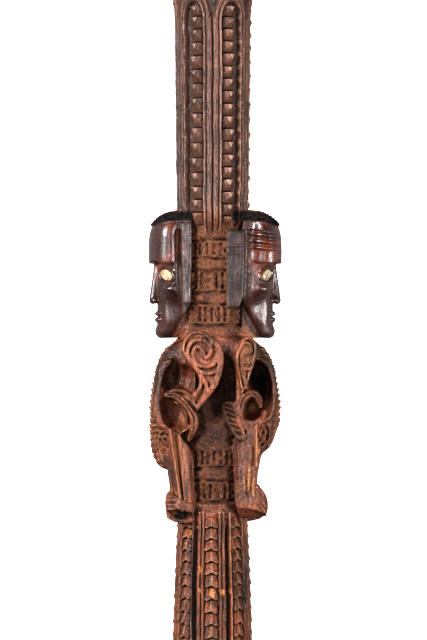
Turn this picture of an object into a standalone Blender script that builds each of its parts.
"""A carved hardwood staff with two figures back to back and four shell eyes, lying on its back.

Metres, +Z up. The staff's axis runs along +Y with its grip at the +Y end, and the side that faces up
is its front. The origin is under the middle of the staff, on the surface that it lies on.
"""

import math

import bmesh
import bpy
from mathutils import Matrix, Vector

MM = 0.001

# Driving dimensions of the whole staff
LENGTH = 0.900
AXIS_HEIGHT = 0.0195        # of the staff's axis above the surface that it lies on
AXIS_X = -0.0011            # the two figures were carved this far off the middle of the shaft
COLLAR_RADIUS = 0.0200      # a little over the axis height, which leaves the flat spots it rests on
ROUND_STEPS = 24            # flats round a turned surface

# Places along the axis
TOP = LENGTH / 2
TIP = -LENGTH / 2
UPPER_COLLAR_Y = 0.3935
LOWER_COLLAR_Y = -0.0135
COLLAR_HEIGHT = 0.0110
COLLAR_SHOULDER = 0.62      # of half its height, where its rounded edges start
COLLAR_EDGE = 0.9
RING_GAP = 0.0025           # between a ring's foot and the turning beside it
GROUP_Y = 0.2114            # middle of the pair of figures
GROUP_HALF = 0.0673         # crown to middle, and middle to soles

# Radii of the turned lengths
POMMEL_RADIUS = 0.0180
POMMEL_DOME = 0.0144        # length of its rounded end
GRIP_NECK_RADIUS = 0.0138
UPPER_TOP_RADIUS = 0.0170
UPPER_FOOT_RADIUS = 0.0148
LOWER_BELLY_RADIUS = 0.0183
LOWER_BELLY_Y = 0.0450
LOWER_BELLY_CURVE = 0.28    # how fast the barrel draws in, per metre
SHAFT_TOP_RADIUS = 0.0148
SHAFT_TIP_RADIUS = 0.0098
TIP_ROUNDING = 0.0090

# Channels that hold the rows of teeth
ARCH_POINTS = 6             # along the round end of a channel
FLOOR_OVERLAP = 0.0040      # of the core past the ends of the channels
UPPER_CHANNELS = 6
UPPER_CHANNEL_START = math.radians(30)
UPPER_CHANNEL_WIDTH = 0.0076
UPPER_CHANNEL_DEPTH = 0.0016
UPPER_CHANNEL_TOP = 0.3710
LOWER_CHANNELS = 8
LOWER_CHANNEL_START = math.radians(-2)
LOWER_CHANNEL_WIDTH = 0.0072
LOWER_CHANNEL_DEPTH = 0.0012
LOWER_CHANNEL_FOOT = 0.0010

# The core that carries the figures, by place from the middle of the group
UPPER_SHAFT_FOOT = 57.0 * MM
NECK_TOP = 56.5 * MM
NECK_GROOVES = (54.6 * MM, 46.6 * MM, 41.4 * MM, 31.7 * MM, 26.8 * MM, 17.6 * MM)
NECK_FOOT = 13.0 * MM
WAIST_TOP = 4.0 * MM
WAIST_FOOT = -16.0 * MM
LEG_CORE_TOP = -34.0 * MM
LEG_CORE_GROOVES = (-44.9 * MM, -50.6 * MM, -59.4 * MM)
BASE_TOP = -60.6 * MM
BASE_FOOT = -65.2 * MM
BASE_EDGE = -66.4 * MM
NECK_RADIUS = 0.0132
SHOULDER_RADIUS = 0.0140
WAIST_RADIUS = 0.0110
LEG_CORE_RADIUS = 0.0128
BASE_RADIUS = 0.0146
BASE_CHAMFER = 0.0010
BAND_GROOVE_DEPTH = 0.0008
BAND_GROOVE_HALF = 0.0009

# Heads, in each figure's own frame: outward from the axis, along the staff, sideways
HEAD_TOP = 67.0 * MM
BROW_Y = 44.5 * MM
CHIN_Y = 12.0 * MM
HEAD_BACK = 9.0 * MM
HEAD_FRONT = 28.4 * MM
HEAD_HALF_WIDTH = 15.0 * MM
HEAD_YAW = math.radians(5)  # the left face turns this much towards the front
EYE_Y = (HEAD_TOP + CHIN_Y) / 2
TEMPLE_LENGTH = 7.0 * MM
CROWN_CENTRE = (11.0 * MM, 49.5 * MM, 0)
CROWN_RADII = (19.0 * MM, 17.8 * MM, 22.0 * MM)
FACE_FRONT = 24.4 * MM
FACE_RIDGE_HALF = 3.2 * MM
FACE_HALF_WIDTH = HEAD_HALF_WIDTH * 0.96
FACE_OVERLAP = 4.0 * MM     # how far the lower face runs up into the brow
CHEEK = HEAD_BACK + (HEAD_FRONT - HEAD_BACK) * 0.38
JAW_HALF_WIDTH = 6.5 * MM
NOSE_TIP = 28.0 * MM
NOSE_BASE_Y = HEAD_TOP - 0.73 * (HEAD_TOP - CHIN_Y)
NOSE_HALF_WIDTH = 2.6 * MM
NOSE_WING = 3.0 * MM        # height of its rounded lower end
NOSE_ROOT = 4.0 * MM        # depth of it inside the face
MOUTH_Y = HEAD_TOP - 0.83 * (HEAD_TOP - CHIN_Y)
LIP_OFFSET = 1.6 * MM       # of each lip from the line of the mouth
LIP_RADII = (1.9 * MM, 1.7 * MM, 5.4 * MM)
LIP_DEPTH = 0.9 * MM        # of their middle inside the face
EYE_HALF_LENGTH = 4.1 * MM
EYE_HALF_HEIGHT = 2.3 * MM
EYE_HALF_THICKNESS = 1.0 * MM
EYE_GAP = 0.3 * MM
EYE_TILT = math.radians(16)
EYE_SHARE = 0.42            # of the way from the nose ridge back along the cheek

# Bodies, by depth from the staff's axis towards the front
TORSO_HALF = 14.6 * MM
TORSO_FRONT = 28.3 * MM
TORSO_SQUARENESS = 0.75     # under 1 fills out the corners of the plan
TORSO_FLANK = 0.45          # of the way out, where its sides start to round
TORSO_ROOT = 2.0 * MM       # depth of it inside the core
LEG_BACK = 1.0 * MM
LEG_FRONT = 15.0 * MM
LEG_ROUNDING = 1.6 * MM
FOOT_FRONT = 16.0 * MM
FOOT_ROUNDING = 1.2 * MM
ARM_BACK = 7.0 * MM
ARM_FRONT = 20.0 * MM
ARM_ROUNDING = 1.0 * MM

FLOOR_CUTTER_DEPTH = 0.010

AXIS_POINT = Vector((AXIS_X, 0, AXIS_HEIGHT))
GROUP_CENTRE = AXIS_POINT + Vector((0, GROUP_Y, 0))
TURNING_POINT = Vector((0, 0, AXIS_HEIGHT))
HALF_TURN = (
    Matrix.Translation(TURNING_POINT) @ Matrix.Rotation(math.pi, 4, "Y") @ Matrix.Translation(-TURNING_POINT)
)


# ---------------------------------------------------------------- scene and materials

def clear_scene():
    for obj in list(bpy.data.objects):
        bpy.data.objects.remove(obj, do_unlink=True)


def make_collection(name, parent):
    collection = bpy.data.collections.new(name)
    parent.children.link(collection)
    return collection


def make_material(name, colour, roughness):
    material = bpy.data.materials.new(name)
    material.use_nodes = True
    shader = material.node_tree.nodes["Principled BSDF"]
    shader.inputs["Base Color"].default_value = (*colour, 1.0)
    shader.inputs["Roughness"].default_value = roughness
    shader.inputs["Metallic"].default_value = 0.0
    material.diffuse_color = (*colour, 1.0)
    return material


# ---------------------------------------------------------------- modelling helpers

def mesh_object(name, mesh, collection, matrix=None):
    obj = bpy.data.objects.new(name, mesh)
    collection.objects.link(obj)
    if matrix is not None:
        obj.matrix_world = matrix
    return obj


def as_mesh(curve_object, collection):
    """Turn a curve into a welded mesh object of the same name and place."""
    bpy.context.view_layer.update()
    graph = bpy.context.evaluated_depsgraph_get()
    mesh = bpy.data.meshes.new_from_object(curve_object.evaluated_get(graph))
    shape = bmesh.new()
    shape.from_mesh(mesh)
    bmesh.ops.remove_doubles(shape, verts=shape.verts, dist=1e-6)
    bmesh.ops.recalc_face_normals(shape, faces=shape.faces)
    shape.to_mesh(mesh)
    shape.free()
    name = curve_object.name
    matrix = curve_object.matrix_world.copy()
    bpy.data.objects.remove(curve_object)
    mesh.materials.clear()
    return mesh_object(name, mesh, collection, matrix)


def turned(name, profile, collection, steps=ROUND_STEPS):
    """A solid of revolution about the staff's axis from (place along the axis, radius), top to bottom."""
    mesh = bpy.data.meshes.new(name)
    points = [(radius, 0, place) for place, radius in profile]
    mesh.from_pydata(points, [(i, i + 1) for i in range(len(points) - 1)], [])
    obj = mesh_object(name, mesh, collection)
    obj.location = AXIS_POINT
    obj.rotation_euler = (-math.pi / 2, 0, 0)
    screw = obj.modifiers.new("Turn", "SCREW")
    screw.steps = steps
    screw.render_steps = steps
    screw.use_merge_vertices = True
    screw.merge_threshold = 0.00005
    return obj


def slab(name, outline, back, front, collection, rounding=0.0, smooth=4):
    """A flat outline (sideways, along the staff), from depth back to depth front, with rounded edges."""
    curve = bpy.data.curves.new(name, "CURVE")
    curve.dimensions = "2D"
    curve.fill_mode = "BOTH"
    curve.extrude = (front - back) / 2 - rounding
    curve.bevel_depth = rounding
    curve.bevel_resolution = 0
    curve.offset = -rounding
    curve.resolution_u = smooth
    if smooth > 1:
        spline = curve.splines.new("BEZIER")
        spline.bezier_points.add(len(outline) - 1)
        for point, place in zip(spline.bezier_points, outline):
            point.co = (*place, 0)
            point.handle_left_type = "AUTO"
            point.handle_right_type = "AUTO"
    else:
        spline = curve.splines.new("POLY")
        spline.points.add(len(outline) - 1)
        for point, place in zip(spline.points, outline):
            point.co = (*place, 0, 1)
    spline.use_cyclic_u = True
    obj = bpy.data.objects.new(name, curve)
    collection.objects.link(obj)
    obj.location = GROUP_CENTRE + Vector((0, 0, (front + back) / 2))
    return as_mesh(obj, collection)


def limb(name, path, radii, collection):
    """A round limb through points (sideways, along, front) with a radius at each."""
    curve = bpy.data.curves.new(name, "CURVE")
    curve.dimensions = "3D"
    curve.bevel_depth = 1.0
    curve.bevel_resolution = 1
    curve.resolution_u = 2
    curve.use_fill_caps = True
    spline = curve.splines.new("BEZIER")
    spline.bezier_points.add(len(path) - 1)
    for point, place, radius in zip(spline.bezier_points, path, radii):
        point.co = place
        point.radius = radius
        point.handle_left_type = "AUTO"
        point.handle_right_type = "AUTO"
    obj = bpy.data.objects.new(name, curve)
    collection.objects.link(obj)
    obj.location = GROUP_CENTRE
    return as_mesh(obj, collection)


def ball(name, centre, radii, collection, segments=16, rings=10):
    """An ellipsoid about a point of the figure group."""
    mesh = bpy.data.meshes.new(name)
    shape = bmesh.new()
    bmesh.ops.create_uvsphere(shape, u_segments=segments, v_segments=rings, radius=1.0)
    bmesh.ops.scale(shape, vec=radii, verts=shape.verts)
    shape.to_mesh(mesh)
    shape.free()
    return mesh_object(name, mesh, collection, Matrix.Translation(GROUP_CENTRE + Vector(centre)))


def block(name, size, matrix, collection):
    mesh = bpy.data.meshes.new(name)
    shape = bmesh.new()
    bmesh.ops.create_cube(shape, size=1.0)
    bmesh.ops.scale(shape, vec=size, verts=shape.verts)
    shape.to_mesh(mesh)
    shape.free()
    return mesh_object(name, mesh, collection, matrix)


def combine(obj, operation, collection, name, solver="EXACT"):
    modifier = obj.modifiers.new(name, "BOOLEAN")
    modifier.operation = operation
    modifier.operand_type = "COLLECTION"
    modifier.collection = collection
    modifier.solver = solver


def turn_copies(collection):
    """Repeat every form of a collection on the other side of the staff, half a turn round its axis."""
    bpy.context.view_layer.update()
    for obj in list(collection.objects):
        mesh_object(obj.name + "_turned", settled(obj), collection, HALF_TURN @ obj.matrix_world)


def settled(obj):
    """The object's mesh with its modifiers applied."""
    if not obj.modifiers:
        return obj.data
    graph = bpy.context.evaluated_depsgraph_get()
    obj.data = bpy.data.meshes.new_from_object(obj.evaluated_get(graph))
    obj.modifiers.clear()
    return obj.data


def hide_helpers(collection):
    for obj in collection.all_objects:
        obj.hide_render = True
        obj.display_type = "WIRE"


# ---------------------------------------------------------------- the turned lengths

def upper_radius(place):
    foot = GROUP_Y + GROUP_HALF
    share = (place - foot) / (UPPER_COLLAR_Y - foot)
    return UPPER_FOOT_RADIUS + (UPPER_TOP_RADIUS - UPPER_FOOT_RADIUS) * share


def lower_radius(place):
    return LOWER_BELLY_RADIUS - LOWER_BELLY_CURVE * (place - LOWER_BELLY_Y) ** 2


def spread(start, end, count):
    return [start + (end - start) * i / (count - 1) for i in range(count)]


def collar(middle, neck):
    """Points of a turned ring with rounded shoulders, standing up from the radius of its neck."""
    half = COLLAR_HEIGHT / 2
    shoulder = half * COLLAR_SHOULDER
    edge = half * COLLAR_EDGE
    edge_radius = COLLAR_RADIUS * 0.965
    return [
        (middle + half, neck),
        (middle + edge, edge_radius),
        (middle + shoulder, COLLAR_RADIUS),
        (middle - shoulder, COLLAR_RADIUS),
        (middle - edge, edge_radius),
        (middle - half, neck),
    ]


def pommel():
    """The rounded grip: a dome, its widest ring, and a hollow that draws in to the neck."""
    points = []
    for angle in spread(0, math.pi / 2, 6):
        points.append((TOP - POMMEL_DOME * (1 - math.cos(angle)), POMMEL_RADIUS * math.sin(angle)))
    widest = TOP - POMMEL_DOME
    foot = UPPER_COLLAR_Y + COLLAR_HEIGHT / 2 + RING_GAP
    for place in spread(widest, foot, 5)[1:]:
        share = (widest - place) / (widest - foot)
        drop = (1 - math.cos(math.pi * share)) / 2
        points.append((place, POMMEL_RADIUS + (GRIP_NECK_RADIUS - POMMEL_RADIUS) * drop))
    return points


def staff_profile():
    points = pommel()
    points += collar(UPPER_COLLAR_Y, UPPER_TOP_RADIUS * 0.94)
    upper_top = UPPER_COLLAR_Y - COLLAR_HEIGHT / 2 - RING_GAP
    upper_foot = GROUP_Y + UPPER_SHAFT_FOOT
    points += [(place, upper_radius(place)) for place in spread(upper_top, upper_foot, 3)]
    points += core_profile()
    lower_top = GROUP_Y - GROUP_HALF
    lower_foot = LOWER_COLLAR_Y + COLLAR_HEIGHT / 2 + RING_GAP
    points += [(place, lower_radius(place)) for place in spread(lower_top, lower_foot, 7)]
    points += collar(LOWER_COLLAR_Y, SHAFT_TOP_RADIUS)
    points += [
        (LOWER_COLLAR_Y - COLLAR_HEIGHT / 2 - RING_GAP, SHAFT_TOP_RADIUS),
        (TIP + TIP_ROUNDING, SHAFT_TIP_RADIUS),
    ]
    for angle in spread(0, math.pi / 2, 5)[1:-1]:
        points.append((TIP + TIP_ROUNDING * (1 - math.sin(angle)), SHAFT_TIP_RADIUS * math.cos(angle)))
    return points + [(TIP, 0)]


def groove(place, radius):
    return [
        (place + BAND_GROOVE_HALF, radius),
        (place, radius - BAND_GROOVE_DEPTH),
        (place - BAND_GROOVE_HALF, radius),
    ]


def core_profile():
    """The grooved bands between the heads, the drawn-in waist, and the bands between the legs."""
    points = [(NECK_TOP, NECK_RADIUS)]
    for place in NECK_GROOVES:
        points += groove(place, NECK_RADIUS)
    points += [
        (NECK_FOOT, NECK_RADIUS), (WAIST_TOP, SHOULDER_RADIUS), (WAIST_FOOT, WAIST_RADIUS),
        (LEG_CORE_TOP, LEG_CORE_RADIUS),
    ]
    for place in LEG_CORE_GROOVES:
        points += groove(place, LEG_CORE_RADIUS)
    points += [
        (BASE_TOP, BASE_RADIUS), (BASE_FOOT, BASE_RADIUS), (BASE_EDGE, BASE_RADIUS - BASE_CHAMFER),
    ]
    return [(GROUP_Y + place, radius) for place, radius in points]


def arch(half, place, direction):
    """The round end of a channel, up the staff with direction 1 and down it with -1."""
    return [
        (direction * half * math.cos(turn), place + direction * half * math.sin(turn))
        for turn in spread(0, math.pi, ARCH_POINTS)
    ]


def channel_cutter(name, angle, outline, radius, collection):
    """A slot of this outline, cut in towards the axis at an angle round the staff."""
    cutter = slab(name, outline, radius * 0.5, radius * 1.5, collection, smooth=1)
    cutter.matrix_world = (
        Matrix.Translation(AXIS_POINT)
        @ Matrix.Rotation(angle, 4, "Y")
        @ Matrix.Translation((0, 0, radius))
    )


def channel_cutters(collection):
    half = UPPER_CHANNEL_WIDTH / 2
    foot = GROUP_Y + UPPER_SHAFT_FOOT - 1 * MM
    outline = arch(half, UPPER_CHANNEL_TOP - half, 1) + [(-half, foot), (half, foot)]
    for i in range(UPPER_CHANNELS):
        angle = UPPER_CHANNEL_START + math.tau * i / UPPER_CHANNELS
        channel_cutter(f"upper_channel_{i + 1}", angle, outline, UPPER_TOP_RADIUS, collection)
    half = LOWER_CHANNEL_WIDTH / 2
    top = GROUP_Y - GROUP_HALF - 0.5 * MM
    outline = arch(half, top, 1) + arch(half, LOWER_CHANNEL_FOOT + half, -1)
    for i in range(LOWER_CHANNELS):
        angle = LOWER_CHANNEL_START + math.tau * i / LOWER_CHANNELS
        channel_cutter(f"lower_channel_{i + 1}", angle, outline, LOWER_BELLY_RADIUS, collection)


def floor_core(name, places, radius_at, depth, collection):
    """A turned core, its ends closed, that is this depth under the surface of the staff."""
    points = [(place, radius_at(place) - depth) for place in sorted(places, reverse=True)]
    turned(name, [(points[0][0], 0), *points, (points[-1][0], 0)], collection)


def channel_floors(collection):
    """What the channels are cut down to."""
    neck = GROUP_Y + NECK_TOP
    places = [neck - 6.5 * MM, neck + 1.5 * MM, UPPER_CHANNEL_TOP + FLOOR_OVERLAP]
    floor_core("upper_channel_floor", places, upper_radius, UPPER_CHANNEL_DEPTH, collection)
    places = spread(LOWER_CHANNEL_FOOT - FLOOR_OVERLAP, GROUP_Y - GROUP_HALF + FLOOR_OVERLAP, 6)
    floor_core("lower_channel_floor", places, lower_radius, LOWER_CHANNEL_DEPTH, collection)


# ---------------------------------------------------------------- the figures

def in_mm(points):
    return [tuple(value * MM for value in point) for point in points]


def head_frame():
    """A head's own frame: X outward from the axis, Y along the staff. It faces left, a little frontwards."""
    return Matrix.Translation(GROUP_CENTRE) @ Matrix.Rotation(math.pi + HEAD_YAW, 4, "Y")


def along_staff(low, high):
    """Turns a slab whose outline is (outward, sideways) so that it runs along the staff from low to high."""
    return Matrix.Rotation(-math.pi / 2, 4, "X") @ Matrix.Translation((0, 0, (low + high) / 2))


def brow(collection, dome):
    """The smooth forehead, rounded in plan, whose lower edge is the ledge over the eyes."""
    reach = HEAD_FRONT - HEAD_BACK - TEMPLE_LENGTH
    outline = [(HEAD_BACK, HEAD_HALF_WIDTH)]
    for turn in spread(math.pi / 2, -math.pi / 2, 11):
        outline.append((
            HEAD_BACK + TEMPLE_LENGTH + reach * math.cos(turn), HEAD_HALF_WIDTH * math.sin(turn),
        ))
    outline.append((HEAD_BACK, -HEAD_HALF_WIDTH))
    obj = slab("brow", outline, BROW_Y, HEAD_TOP, collection, smooth=1)
    obj.matrix_world = head_frame() @ along_staff(BROW_Y, HEAD_TOP)
    ball("crown_dome", (0, 0, 0), CROWN_RADII, dome, 20, 12).matrix_world = (
        head_frame() @ Matrix.Translation(CROWN_CENTRE)
    )
    combine(obj, "INTERSECT", dome, "Rounded crown", "MANIFOLD")


def face(collection, jaw_cutters):
    """The lower face, prow-shaped in plan, which narrows to the chin."""
    outline = [
        (HEAD_BACK, FACE_HALF_WIDTH), (CHEEK, FACE_HALF_WIDTH * 0.97), (FACE_FRONT, FACE_RIDGE_HALF),
        (FACE_FRONT, -FACE_RIDGE_HALF), (CHEEK, -FACE_HALF_WIDTH * 0.97), (HEAD_BACK, -FACE_HALF_WIDTH),
    ]
    high = BROW_Y + FACE_OVERLAP
    obj = slab("face", outline, CHIN_Y, high, collection, smooth=1)
    obj.matrix_world = head_frame() @ along_staff(CHIN_Y, high)
    lean = math.atan2(FACE_HALF_WIDTH - JAW_HALF_WIDTH, EYE_Y - CHIN_Y)
    length, depth = 60 * MM, 20 * MM
    for side in (-1, 1):
        hinge = Matrix.Translation((0, EYE_Y, side * FACE_HALF_WIDTH)) @ Matrix.Rotation(-side * lean, 4, "X")
        place = head_frame() @ hinge @ Matrix.Translation((0, -length / 2, side * depth / 2))
        block(f"jaw_cutter_{side}", (0.1, length, depth), place, jaw_cutters)
    combine(obj, "DIFFERENCE", jaw_cutters, "Jaw")


def nose_and_lips(collection):
    root, top = FACE_FRONT - NOSE_ROOT, BROW_Y + 1 * MM
    nose = [
        (root, NOSE_BASE_Y), (NOSE_TIP, NOSE_BASE_Y), (NOSE_TIP, NOSE_BASE_Y + NOSE_WING),
        (FACE_FRONT + 0.4 * MM, top), (root, top),
    ]
    obj = slab("nose", nose, -NOSE_HALF_WIDTH, NOSE_HALF_WIDTH, collection, smooth=1)
    obj.matrix_world = head_frame()
    for name, place in (("upper_lip", MOUTH_Y + LIP_OFFSET), ("lower_lip", MOUTH_Y - LIP_OFFSET)):
        lip = ball(name, (0, 0, 0), LIP_RADII, collection, 10, 6)
        lip.matrix_world = head_frame() @ Matrix.Translation((FACE_FRONT - LIP_DEPTH, place, 0))


def eye_place(side):
    """The middle of an eye, on the slanting plane beside the nose, turned to lie in that plane."""
    run = CHEEK - FACE_FRONT
    rise = FACE_HALF_WIDTH - FACE_RIDGE_HALF
    centre = (FACE_FRONT + run * EYE_SHARE, EYE_Y, side * (FACE_RIDGE_HALF + rise * EYE_SHARE))
    slant = math.atan2(-run, rise)
    outward = Matrix.Rotation(math.pi / 2 - side * slant, 4, "Y")
    return head_frame() @ Matrix.Translation(centre) @ outward @ Matrix.Rotation(side * EYE_TILT, 4, "Z")


def eye(name, matrix, grow, collection):
    """A shell inlay, or with grow the socket cut for it."""
    mesh = bpy.data.meshes.new(name)
    shape = bmesh.new()
    bmesh.ops.create_uvsphere(shape, u_segments=16, v_segments=6, radius=1.0)
    radii = (EYE_HALF_LENGTH + grow, EYE_HALF_HEIGHT + grow, EYE_HALF_THICKNESS + grow)
    bmesh.ops.scale(shape, vec=radii, verts=shape.verts)
    shape.to_mesh(mesh)
    shape.free()
    mesh.shade_smooth()
    return mesh_object(name, mesh, collection, matrix)


def eyes(collection, sockets, material):
    """Each figure's two eyes. The left figure's frame is upside down seen from the front."""
    for figure, turn, front in (("left_figure", Matrix.Identity(4), -1), ("right_figure", HALF_TURN, 1)):
        for place, side in (("front", front), ("back", -front)):
            name = f"{figure}_{place}_eye"
            matrix = turn @ eye_place(side)
            eye(name, matrix, 0, collection).data.materials.append(material)
            eye(name + "_socket", matrix, EYE_GAP, sockets)


LEFT_TORSO = in_mm([
    (-7, 14.5), (-15, 13.0), (-21.8, 7.5), (-25.4, -3), (-27.7, -14), (-28.2, -26),
    (-27.0, -37), (-23.5, -44), (-18.5, -45.5), (-11, -43), (-6, -36),
])
LEFT_ARM = in_mm([
    (-4.2, 13.6), (2.0, 11.8), (4.8, 5.5), (4.4, -2), (1.6, -9), (-2.8, -15.5), (-6.6, -20.2),
    (-8.6, -16), (-9.0, -9), (-11.2, -3.4), (-13.2, 2.6), (-12.4, 9), (-9, 12.6),
])
LEFT_FOREARM = in_mm([
    (-19.4, -11.0, 12.0), (-12.5, -12.8, 14.5), (-7.7, -18.0, 15.2), (-7.2, -24.5, 14.4),
    (-10.3, -33.9, 11.5),
])
LEFT_FOREARM_RADII = (1.6 * MM, 2.2 * MM, 2.6 * MM, 2.6 * MM, 1.2 * MM)
LEFT_LEG = in_mm([
    (-21.5, -30), (-17.0, -28), (-12.6, -34), (-10.4, -48), (-9.2, -66), (-19.8, -66), (-19.6, -54),
    (-21.4, -44),
])
LEFT_FOOT = in_mm([(-20.8, -54.6), (-9.6, -56.5), (-9.6, -66), (-12, -67.2), (-19.8, -67.2), (-21.2, -62)])
RIGHT_ARM = in_mm([
    (14.6, 12.6), (18.2, 9.6), (18.9, 3), (17.6, -4), (15.2, -10.5), (12.0, -10.5), (9.6, -3),
    (9.2, 4.5), (11.2, 10.5),
])
RIGHT_FOREARM = in_mm([
    (13.6, -31.5, 11.5), (10.8, -20.5, 14.6), (12.8, -12.8, 15.4), (17.0, -10.2, 15.0),
    (20.6, -15.5, 12.5),
])
RIGHT_FOREARM_RADII = (1.4 * MM, 2.4 * MM, 2.4 * MM, 2.2 * MM, 1.6 * MM)
RIGHT_LEG = in_mm([(11.0, -27), (19, -26), (22.4, -34), (20.8, -50), (20.4, -61), (11.8, -62), (10.6, -45)])
RIGHT_FOOT = in_mm([(12.2, -57), (20.6, -52.8), (24.2, -57), (24.0, -65), (21, -66.6), (13, -66.6)])


def torso(raised, plans):
    """The left figure's trunk: the side view's outline, rounded in plan towards its front."""
    obj = slab("left_torso", LEFT_TORSO, -TORSO_HALF, TORSO_HALF, raised, smooth=2)
    low, high = -GROUP_HALF, GROUP_HALF
    flank = TORSO_FRONT * TORSO_FLANK
    outline = [(-TORSO_ROOT, TORSO_HALF), (flank, TORSO_HALF)]
    for turn in spread(math.pi / 2, -math.pi / 2, 10)[1:-1]:
        sideways = math.copysign(abs(math.sin(turn)) ** TORSO_SQUARENESS, math.sin(turn))
        outline.append((
            flank + (TORSO_FRONT - flank) * math.cos(turn) ** TORSO_SQUARENESS, sideways * TORSO_HALF,
        ))
    outline += [(flank, -TORSO_HALF), (-TORSO_ROOT, -TORSO_HALF)]
    plan = slab("torso_plan", outline, low, high, plans, smooth=1)
    plan.matrix_world = (
        Matrix.Translation(GROUP_CENTRE) @ Matrix.Rotation(math.pi, 4, "Y") @ along_staff(low, high)
    )
    combine(obj, "INTERSECT", plans, "Rounded in plan", "MANIFOLD")


def legs(raised):
    """The bent legs and feet, on the front half of the staff."""
    for name, outline in (("left_leg", LEFT_LEG), ("right_leg", RIGHT_LEG)):
        slab(name, outline, LEG_BACK, LEG_FRONT, raised, rounding=LEG_ROUNDING, smooth=2)
    for name, outline in (("left_foot", LEFT_FOOT), ("right_foot", RIGHT_FOOT)):
        slab(name, outline, LEG_BACK, FOOT_FRONT, raised, rounding=FOOT_ROUNDING, smooth=1)


HOLLOWS = {
    # middle and half sizes, each (sideways, along, front)
    "left_upper_hollow": in_mm([(-15.4, -6.5, 17.0), (6.6, 8.6, 11.0)]),
    "left_lower_hollow": in_mm([(-16.2, -20.5, 16.0), (6.4, 7.6, 9.0)]),
    "right_upper_hollow": in_mm([(19.4, -7.5, 17.0), (5.2, 9.6, 15.0)]),
    "right_lower_hollow": in_mm([(18.4, -19.0, 15.0), (6.0, 5.0, 9.0)]),
    "middle_hollow": in_mm([(2.0, -17.0, 19.0), (6.0, 12.5, 9.0)]),
}


def hollows(cut):
    """The spaces carved out round the arms."""
    for name, (centre, radii) in HOLLOWS.items():
        ball(name, centre, radii, cut, 12, 7)


def arms(limbs):
    for name, outline in (("left_upper_arm", LEFT_ARM), ("right_upper_arm", RIGHT_ARM)):
        slab(name, outline, ARM_BACK, ARM_FRONT, limbs, rounding=ARM_ROUNDING, smooth=2)
    limb("left_forearm", LEFT_FOREARM, LEFT_FOREARM_RADII, limbs)
    limb("right_forearm", RIGHT_FOREARM, RIGHT_FOREARM_RADII, limbs)


def build():
    clear_scene()
    parts = make_collection("carved_ceremonial_staff", bpy.context.scene.collection)
    helpers = make_collection("cutters_and_guides", bpy.context.scene.collection)
    channels = make_collection("channel_cutters", helpers)
    floors = make_collection("channel_floors", helpers)
    jaw_cutters = make_collection("jaw_cutters", helpers)
    dome = make_collection("crown_dome", helpers)
    plans = make_collection("torso_plan", helpers)
    raised = make_collection("raised_forms", helpers)
    cut = make_collection("hollows", helpers)
    limbs = make_collection("limbs", helpers)
    sockets = make_collection("sockets_and_flat_spots", helpers)
    wood = make_material("dark_carved_wood", (0.115, 0.042, 0.022), 0.45)
    shell = make_material("shell_inlay", (0.80, 0.74, 0.58), 0.22)

    staff = turned("staff", staff_profile(), parts)
    staff.data.materials.append(wood)
    channel_cutters(channels)
    channel_floors(floors)
    brow(raised, dome)
    face(raised, jaw_cutters)
    nose_and_lips(raised)
    torso(raised, plans)
    legs(raised)
    turn_copies(raised)
    hollows(cut)
    turn_copies(cut)
    arms(limbs)
    turn_copies(limbs)
    eyes(parts, sockets, shell)
    cutter_size = (0.2, LENGTH * 1.1, FLOOR_CUTTER_DEPTH)
    block("floor_cutter", cutter_size, Matrix.Translation((0, 0, -FLOOR_CUTTER_DEPTH / 2)), sockets)

    combine(staff, "DIFFERENCE", channels, "Cut channels")
    combine(staff, "UNION", floors, "Channel floors")
    combine(staff, "UNION", raised, "Figures", "MANIFOLD")
    combine(staff, "DIFFERENCE", cut, "Hollows round the arms", "MANIFOLD")
    combine(staff, "UNION", limbs, "Arms", "MANIFOLD")
    combine(staff, "DIFFERENCE", sockets, "Eye sockets and flat spots", "MANIFOLD")
    hide_helpers(helpers)


build()
